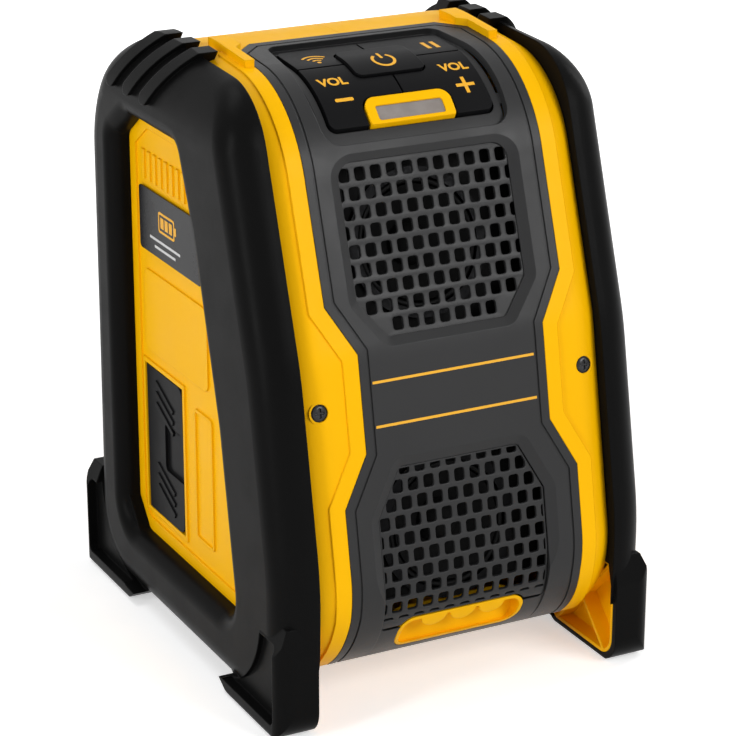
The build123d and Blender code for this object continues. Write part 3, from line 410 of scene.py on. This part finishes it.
def print_on(name, data, plane, at, target, look, body):
    """Lays a flat curve on the surface of a CAD node, just above it."""
    mesh = mesh_from(data)
    work = bmesh.new()
    work.from_mesh(mesh)
    bmesh.ops.triangulate(work, faces=work.faces)
    for _ in range(INK_PASSES):
        longer = [edge for edge in work.edges if edge.calc_length() > INK_EDGE]
        if longer:
            bmesh.ops.subdivide_edges(work, edges=longer, cuts=1)
            bmesh.ops.triangulate(work, faces=work.faces)
    _, across, along = plane
    normal = Vector(across).cross(Vector(along)).normalized()
    surface = surface_of(target)
    lost = []
    for vertex in work.verts:
        flat = on_plane(plane, vertex.co.x + at[0], vertex.co.y + at[1])
        hit = surface.ray_cast(flat + normal * INK_RAY_START * MM, -normal, INK_RAY * MM)[0]
        if hit is None:
            lost.append(vertex)
        else:
            vertex.co = hit + normal * INK_LIFT * MM
    bmesh.ops.delete(work, geom=lost, context="VERTS")
    for face in work.faces:
        face.smooth = True
    work.to_mesh(mesh)
    work.free()
    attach(new_piece(name, mesh, look), body)


def bar(u0, v0, u1, v1):
    return [(u0, v0), (u1, v0), (u1, v1), (u0, v1)]


def rounded_bar(u0, v0, u1, v1, radius, steps=5):
    points = []
    for cu, cv, turn in ((u1 - radius, v1 - radius, 0.0), (u0 + radius, v1 - radius, 0.5),
                         (u0 + radius, v0 + radius, 1.0), (u1 - radius, v0 + radius, 1.5)):
        for step in range(steps + 1):
            angle = (turn + 0.5 * step / steps) * pi
            points.append((cu + radius * cos(angle), cv + radius * sin(angle)))
    return points


def arc_band(radius, line, start, end, steps=24, centre=(0.0, 0.0)):
    """A band along an arc, which starts and ends at the given degrees."""
    outer, inner = [], []
    for step in range(steps + 1):
        angle = radians(start + (end - start) * step / steps)
        for loop, reach in ((outer, radius + line / 2), (inner, radius - line / 2)):
            loop.append((centre[0] + reach * cos(angle), centre[1] + reach * sin(angle)))
    return outer + inner[::-1]


def plus_outline(arm, half):
    return [(-half, -arm), (half, -arm), (half, -half), (arm, -half), (arm, half), (half, half),
            (half, arm), (-half, arm), (-half, half), (-arm, half), (-arm, -half), (-half, -half)]


def rounded_loop(corners, radii, steps=6):
    """A polygon, drawn anticlockwise, with its corners rounded to the given radii."""
    points = []
    for index, (corner, radius) in enumerate(zip(corners, radii)):
        at = Vector(corner)
        before = (Vector(corners[index - 1]) - at).normalized()
        after = (Vector(corners[(index + 1) % len(corners)]) - at).normalized()
        half = before.angle(after) / 2
        centre = at + (before + after).normalized() * radius / sin(half)
        first = at + before * radius / tan(half) - centre
        last = at + after * radius / tan(half) - centre
        sweep = first.angle_signed(last)
        for step in range(steps + 1):
            turned = first.copy()
            turned.rotate(Matrix.Rotation(-sweep * step / steps, 2))
            points.append(tuple(centre + turned))
    return points


def add_legends():
    def legend(name, loops, at, key):
        print_on(name, flat_curve(loops), TRAY, at, key, INK, key)

    power = [arc_band(*POWER_RING), rounded_bar(*POWER_STROKE)]
    legend("power_legend", power, POWER_AT, "power_key")
    legend("pause_legend", [bar(*stroke) for stroke in PAUSE_STROKES], PAUSE_AT, "pause_key")
    waves = [arc_band(reach, WAVE_LINE, *WAVE_SPAN, WAVE_STEPS, WAVE_CENTRE)
             for reach in WAVE_RADII]
    waves.append(arc_band(*WAVE_DOT, WAVE_STEPS, WAVE_CENTRE))
    legend("pairing_legend", waves, WAVES_AT, "pairing_key")
    for side, key in ((-1, "volume_down_key"), (1, "volume_up_key")):
        at = (VOLUME_SPREAD * side + VOLUME_SHIFT, VOLUME_RUN)
        word = key.replace("key", "word")
        print_on(word, lettering("VOL", VOLUME_SIZE), TRAY, at, key, INK, key)
    legend("minus_legend", [rounded_bar(*MINUS_STROKE)], MINUS_AT, "volume_down_key")
    legend("plus_legend", [plus_outline(PLUS_ARM, PLUS_HALF_LINE)], PLUS_AT, "volume_up_key")


def add_waist_lines():
    (_, _, start), _, (_, _, rise) = WAIST
    for index, z in enumerate(STRIPE_HEIGHTS):
        run = (z - start) / rise
        stripe = [bar(-STRIPE_HALF_LENGTH, run - STRIPE_HALF_LINE,
                      STRIPE_HALF_LENGTH, run + STRIPE_HALF_LINE)]
        print_on(f"waist_line_{index}", flat_curve(stripe), WAIST, (0.0, 0.0), "front_panel", INK,
                 "speaker")


def add_label_art():
    def art(name, loops, at, look):
        print_on(name, flat_curve(loops), LEFT_SIDE, at, "label_plate", look, "speaker")

    art("battery_outline", [rounded_bar(*loop) for loop in BATTERY_CASE], BATTERY_AT, INK)
    art("battery_tip", [rounded_bar(*BATTERY_TIP)], BATTERY_AT, INK)
    for index in range(CELL_COUNT):
        shift = index * CELL_PITCH
        cell = bar(CELL_START + shift, -CELL_HALF_HEIGHT, CELL_END + shift, CELL_HALF_HEIGHT)
        art(f"battery_cell_{index}", [cell], BATTERY_AT, INK)
    for index, half in enumerate(RULE_HALF_LENGTHS):
        at = (RULE_AT[0], RULE_AT[1] - index * RULE_PITCH)
        rule = bar(-half, -RULE_HALF_LINE, half, RULE_HALF_LINE)
        art(f"label_rule_{index}", [rule], at, PALE_INK)


def screw_height(u, v):
    """Height of a domed head's top, with a cross recess in it."""
    dome = SCREW_DOME * (1 - (hypot(u, v) / SCREW_RADIUS) ** 4)
    inside = max(min(SCREW_ARM - abs(u), SCREW_HALF_SLOT - abs(v)),
                 min(SCREW_ARM - abs(v), SCREW_HALF_SLOT - abs(u)))
    return dome - SCREW_RECESS * min(1.0, max(0.0, 0.5 + inside / SCREW_SLOT_SLOPE))


def screw_head(name, node, near, out):
    """A screw head of rings round its axis, on the CAD screw that lies behind the given place."""
    start = (near + out * SCREW_RAY_START) * MM
    hit = surface_of(node).ray_cast(start, -out, SCREW_RAY * MM)[0]
    across = Vector((1.0, 0.0, 0.0))
    along = out.cross(across)
    work = bmesh.new()
    loops = []
    for ring in range(SCREW_RINGS + 1):
        reach = SCREW_RADIUS * max(ring, SCREW_CORE_SHARE) / SCREW_RINGS
        loop = []
        for step in range(SCREW_STEPS):
            angle = 2 * pi * step / SCREW_STEPS
            u, v = reach * cos(angle), reach * sin(angle)
            lift = screw_height(u, v) if ring < SCREW_RINGS else -SCREW_SKIRT
            place = across * u + along * v + out * (lift + SCREW_LIFT)
            loop.append(work.verts.new(hit + place * MM))
        loops.append(loop)
    for inner, outer in zip(loops, loops[1:]):
        for step in range(SCREW_STEPS):
            after = (step + 1) % SCREW_STEPS
            work.faces.new((inner[step], outer[step], outer[after], inner[after]))
    work.faces.new(loops[0])
    bmesh.ops.recalc_face_normals(work, faces=work.faces)
    for face in work.faces:
        face.smooth = True
    mesh = bpy.data.meshes.new(name)
    work.to_mesh(mesh)
    work.free()
    piece = new_piece(name, mesh, MATERIALS["black_screw"])
    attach(piece, "speaker")


def add_screw_heads():
    x, y, z = FRONT_SCREW
    for side, sign in SIDES.items():
        place = Vector((x * sign, y, z))
        screw_head(f"front_screw_{side}", "front_screws", place, Vector(FRONT_SCREW_OUT))
    for side, sign in SIDES.items():
        for level, height in REAR_SCREW_HEIGHTS.items():
            place = Vector((REAR_SCREW_X * sign, REAR_SCREW_Y, height))
            screw_head(f"rear_screw_{level}_{side}", "rear_screws", place, Vector(REAR_SCREW_OUT))


def clipped(loop, limits):
    """The part of a loop that lies within all the limits (a, b, c), where a*u + b*run <= c."""
    for a, b, c in limits:
        kept = []
        for index, point in enumerate(loop):
            before = loop[index - 1]
            here = a * point[0] + b * point[1] - c
            there = a * before[0] + b * before[1] - c
            if (here > 0) != (there > 0):
                share = there / (there - here)
                kept.append(tuple(p + (q - p) * share for p, q in zip(before, point)))
            if here <= 0:
                kept.append(point)
        loop = kept
    return loop


def hole_rows(counts, first_row, pitch, limits=(), last_limits=()):
    """The grille's holes, as closed loops of (u, run) points, with more limits on the last row."""
    loops = []
    for index, count in enumerate(counts):
        run = first_row + index * pitch
        bounds = (*limits, *last_limits) if index == len(counts) - 1 else limits
        for place in range(count):
            u = (place - (count - 1) / 2) * HOLE_PITCH
            loop = rounded_bar(u - HOLE_WIDTH / 2, run - HOLE_HEIGHT / 2, u + HOLE_WIDTH / 2,
                               run + HOLE_HEIGHT / 2, HOLE_ROUND, HOLE_STEPS)
            loop = clipped(loop[::-1], bounds)
            if len(loop) > 2:
                loops.append(loop)
    return loops


def upper_frame(run):
    """A place on the upper slope, run millimetres up from the waist, and its outward normal."""
    slope = Vector((0.0, BROW[0] - WAIST_LINE[0], BROW[1] - WAIST_LINE[1])).normalized()
    out = Vector((0.0, -slope.z, slope.y))
    return Vector((0.0, *WAIST_LINE)) + slope * run, out


def lower_frame(run):
    """A place down the lower slope and round the chin, run millimetres from the waist."""
    down = Vector((0.0, CHIN[0] - WAIST_LINE[0], CHIN[1] - WAIST_LINE[1]))
    corner = atan2(WAIST_LINE[1] - CHIN[1], WAIST_LINE[0] - CHIN[0])
    corner += atan2(CHIN[1] - KEEL[1], KEEL[0] - CHIN[0])
    straight = down.length - CHIN_RADIUS / tan(corner / 2)
    down.normalize()
    out = Vector((0.0, down.z, -down.y))
    if run <= straight:
        return Vector((0.0, *WAIST_LINE)) + down * run, out
    centre = Vector((0.0, *WAIST_LINE)) + down * straight - out * CHIN_RADIUS
    out.rotate(Matrix.Rotation((run - straight) / CHIN_RADIUS, 3, "X"))
    return centre + out * CHIN_RADIUS, out


def run_at_height(height):
    """How far down the lower slope a height lies, found by halving."""
    low, high = RUN_RANGE
    for _ in range(RUN_PASSES):
        middle = (low + high) / 2
        if lower_frame(middle)[0].z > height:
            low = middle
        else:
            high = middle
    return low


def outer_depths(node, place_at, low, high):
    """How far the CAD grille's outer face lies from the path, at each millimetre of it."""
    surface = surface_of(node)
    depths = []
    for run in range(int(low) - 1, int(high) + 3):
        place, out = place_at(run)
        best = None
        for column in DEPTH_COLUMNS:
            start = place + Vector((column, 0.0, 0.0)) + out * DEPTH_RAY_START
            hit = surface.ray_cast(start * MM, -out, DEPTH_RAY * MM)[0]
            if hit is not None:
                depth = (hit / MM - place).dot(out)
                best = depth if best is None else max(best, depth)
        depths.append(best)
    known = [depth for depth in depths if depth is not None]
    smooth = []
    for index in range(len(depths)):
        near = depths[max(0, index - DEPTH_BLEND):index + DEPTH_BLEND + 1]
        near = [depth for depth in near if depth is not None] or known[-1:]
        smooth.append(sum(near) / len(near))
    return int(low) - 1, smooth


def grille_plate(name, node, outline, holes, place_at):
    """A plate with rounded holes, bent to the outer face of the CAD grille that it replaces."""
    data = flat_curve([outline] + holes)
    data.extrude = GRILLE_WALL / 2 - GRILLE_SOFT
    data.bevel_depth = GRILLE_SOFT
    data.bevel_resolution = 2
    data.offset = -GRILLE_SOFT
    mesh = mesh_from(data)
    work = bmesh.new()
    work.from_mesh(mesh)
    bmesh.ops.remove_doubles(work, verts=work.verts, dist=MERGE_REACH)
    runs = [vertex.co.y for vertex in work.verts]
    cut = min(runs) + BEND_STEP
    while cut < max(runs):
        everything = work.verts[:] + work.edges[:] + work.faces[:]
        bmesh.ops.bisect_plane(work, geom=everything, plane_co=(0, cut, 0), plane_no=(0, 1, 0),
                               dist=CUT_REACH)
        cut += BEND_STEP
    start, depths = outer_depths(node, place_at, min(runs), max(runs))
    for vertex in work.verts:
        u, run, w = vertex.co
        place, out = place_at(run)
        index = min(len(depths) - 2, max(0, int(run - start)))
        share = run - start - index
        depth = depths[index] * (1 - share) + depths[index + 1] * share
        vertex.co = (place + out * (depth - GRILLE_WALL / 2 + w) + Vector((u, 0.0, 0.0))) * MM
    bmesh.ops.recalc_face_normals(work, faces=work.faces)
    for face in work.faces:
        face.smooth = True
    for edge in work.edges:
        flat = edge.calc_face_angle(0.0) < radians(CREASE_ANGLE)
        edge.smooth = len(edge.link_faces) == 2 and flat
    work.to_mesh(mesh)
    work.free()
    piece = new_piece(name, mesh, MATERIALS["black_panel"])
    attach(piece, "speaker")
    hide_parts(node)


def scoop_notch():
    """Where the finger scoop's rounded ends cut into the lower plate, from left to right."""
    notch = []
    for step in range(-6, 7):
        turn = radians(SCOOP_STEP * step)
        side = 1 if step > 0 else -1
        height = SCOOP_END_Z + SCOOP_END_RADIUS * cos(turn)
        if height > LOWER_EDGE_Z:
            u = side * SCOOP_END_X + SCOOP_END_RADIUS * sin(turn)
            notch.append((u, run_at_height(height)))
    return notch


def add_grilles():
    upper_holes = hole_rows(UPPER_ROWS, UPPER_FIRST_ROW, UPPER_ROW_PITCH)
    grille_plate("upper_grille_plate", "upper_grille", rounded_loop(UPPER_CORNERS, UPPER_RADII),
                 upper_holes, upper_frame)
    low = run_at_height(LOWER_EDGE_Z)
    outline = [(-LOWER_HALF, low), *scoop_notch(), (LOWER_HALF, low), (LOWER_HALF, LOWER_SHOULDER),
               (LOWER_TOP_HALF, LOWER_TOP), (-LOWER_TOP_HALF, LOWER_TOP),
               (-LOWER_HALF, LOWER_SHOULDER)]
    # the holes stay clear of the plate's sides, its top and its two leaning shoulders
    a, b = LOWER_SHOULDER - LOWER_TOP, LOWER_TOP_HALF - LOWER_HALF
    c = a * LOWER_HALF + b * LOWER_SHOULDER - LOWER_SHOULDER_RIM
    limits = [(1, 0, LOWER_HOLE_HALF), (-1, 0, LOWER_HOLE_HALF), (0, -1, -LOWER_HOLE_TOP),
              (a, b, c), (-a, b, c)]
    last_limits = [(0, 1, run_at_height(LAST_ROW_Z) - LAST_ROW_RIM)]
    lower_holes = hole_rows(LOWER_ROWS, LOWER_FIRST_ROW, LOWER_ROW_PITCH, limits, last_limits)
    grille_plate("lower_grille_plate", "lower_grille", outline, lower_holes, lower_frame)


def add_seam_tongue():
    """A ribbon on the housing's inner wall that closes its seam to light, as a tongue does."""
    sides = [(surface_of(f"{side}_housing"), sign * TONGUE_REACH) for side, sign in SIDES.items()]
    work = bmesh.new()
    before = None
    for step in range(361):
        out = Vector((0.0, cos(radians(step)), sin(radians(step))))
        hits = []
        for surface, x in sides:
            start = Vector((x, *TONGUE_MIDDLE)) * MM
            hits.append(surface.ray_cast(start, out, TONGUE_RAY * MM)[0])
        widest = 2 * (TONGUE_REACH + TONGUE_SLACK) * MM
        if None in hits or (hits[0] - hits[1]).length > widest:
            before = None
            continue
        row = [work.verts.new(hit - out * TONGUE_GAP * MM) for hit in hits]
        if before and (row[0].co - before[0].co).length < TONGUE_JUMP * MM:
            work.faces.new((before[0], before[1], row[1], row[0]))
        before = row
    loose = [vertex for vertex in work.verts if not vertex.link_faces]
    bmesh.ops.delete(work, geom=loose, context="VERTS")
    mesh = bpy.data.meshes.new("seam_tongue")
    work.to_mesh(mesh)
    work.free()
    piece = new_piece("seam_tongue", mesh, MATERIALS["yellow_shell"])
    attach(piece, "speaker")


def add_studio():
    for name, (place, (width, height), power) in LAMPS.items():
        data = bpy.data.lights.new(name, "AREA")
        data.shape = "RECTANGLE"
        data.size = width
        data.size_y = height
        data.energy = power
        light = bpy.data.objects.new(name, data)
        light.location = place
        aim = Vector(LAMP_TARGET) - Vector(place)
        light.rotation_euler = aim.to_track_quat("-Z", "Y").to_euler()
        bpy.context.scene.collection.objects.link(light)


def seen_directly(tree):
    """1 for the rays that show the surroundings themselves, 0 for those that light the object."""
    path = tree.nodes.new("ShaderNodeLightPath")
    total = path.outputs["Is Camera Ray"]
    for kind in ("Is Glossy Ray", "Is Transmission Ray"):
        add = tree.nodes.new("ShaderNodeMath")
        add.operation = "ADD"
        add.use_clamp = True
        tree.links.new(total, add.inputs[0])
        tree.links.new(path.outputs[kind], add.inputs[1])
        total = add.outputs["Value"]
    return total


def floor_look():
    """Pale paper that is seen as white far from the object, and keeps its shadow close to it."""
    look = Look("floor_paper")
    grain = look.ramp(look.noise(40.0, 3.0), GLOSS_STOPS, FLOOR_LOW, FLOOR_HIGH)
    look.link(grain, look.shader, "Base Color")
    look.shader.inputs["Roughness"].default_value = 0.9
    look.shader.inputs["Specular IOR Level"].default_value = 0.1
    look.shader.inputs["Emission Color"].default_value = (1.0, 1.0, 1.0, 1.0)
    away = look.add("ShaderNodeVectorMath")
    away.operation = "LENGTH"
    look.link(look.place, away, "Vector")
    near, far = SHADOW_REACH
    glow = look.add("ShaderNodeMapRange", **{"From Min": near, "From Max": far,
                                             "To Min": FLOOR_GLOW, "To Max": 1.0})
    look.link(away.outputs["Value"], glow, "Value")
    share = look.add("ShaderNodeMath")
    share.operation = "MULTIPLY"
    look.tree.links.new(seen_directly(look.tree), share.inputs[0])
    look.tree.links.new(glow.outputs["Result"], share.inputs[1])
    look.link(share.outputs["Value"], look.shader, "Emission Strength")
    return look.material


def add_floor():
    bpy.ops.mesh.primitive_plane_add(size=FLOOR_SIZE, location=(0, 0, 0))
    floor = bpy.context.object
    floor.name = "floor"
    floor.data.materials.append(floor_look())


def add_world():
    world = bpy.data.worlds.new("world")
    world.use_nodes = True
    tree = world.node_tree
    lit = tree.nodes["Background"]
    white = tree.nodes.new("ShaderNodeBackground")
    for background, strength in ((lit, WORLD_LIGHT), (white, 1.0)):
        background.inputs["Color"].default_value = (1.0, 1.0, 1.0, 1.0)
        background.inputs["Strength"].default_value = strength
    mix = tree.nodes.new("ShaderNodeMixShader")
    tree.links.new(seen_directly(tree), mix.inputs["Fac"])
    tree.links.new(lit.outputs["Background"], mix.inputs[1])
    tree.links.new(white.outputs["Background"], mix.inputs[2])
    tree.links.new(mix.outputs["Shader"], tree.nodes["World Output"].inputs["Surface"])
    bpy.context.scene.world = world


bpy.context.scene.view_settings.view_transform = "Standard"
add_camera()
add_world()
add_studio()
add_floor()
dress_nodes()
add_legends()
add_waist_lines()
add_label_art()
add_screw_heads()
add_grilles()
add_seam_tongue()
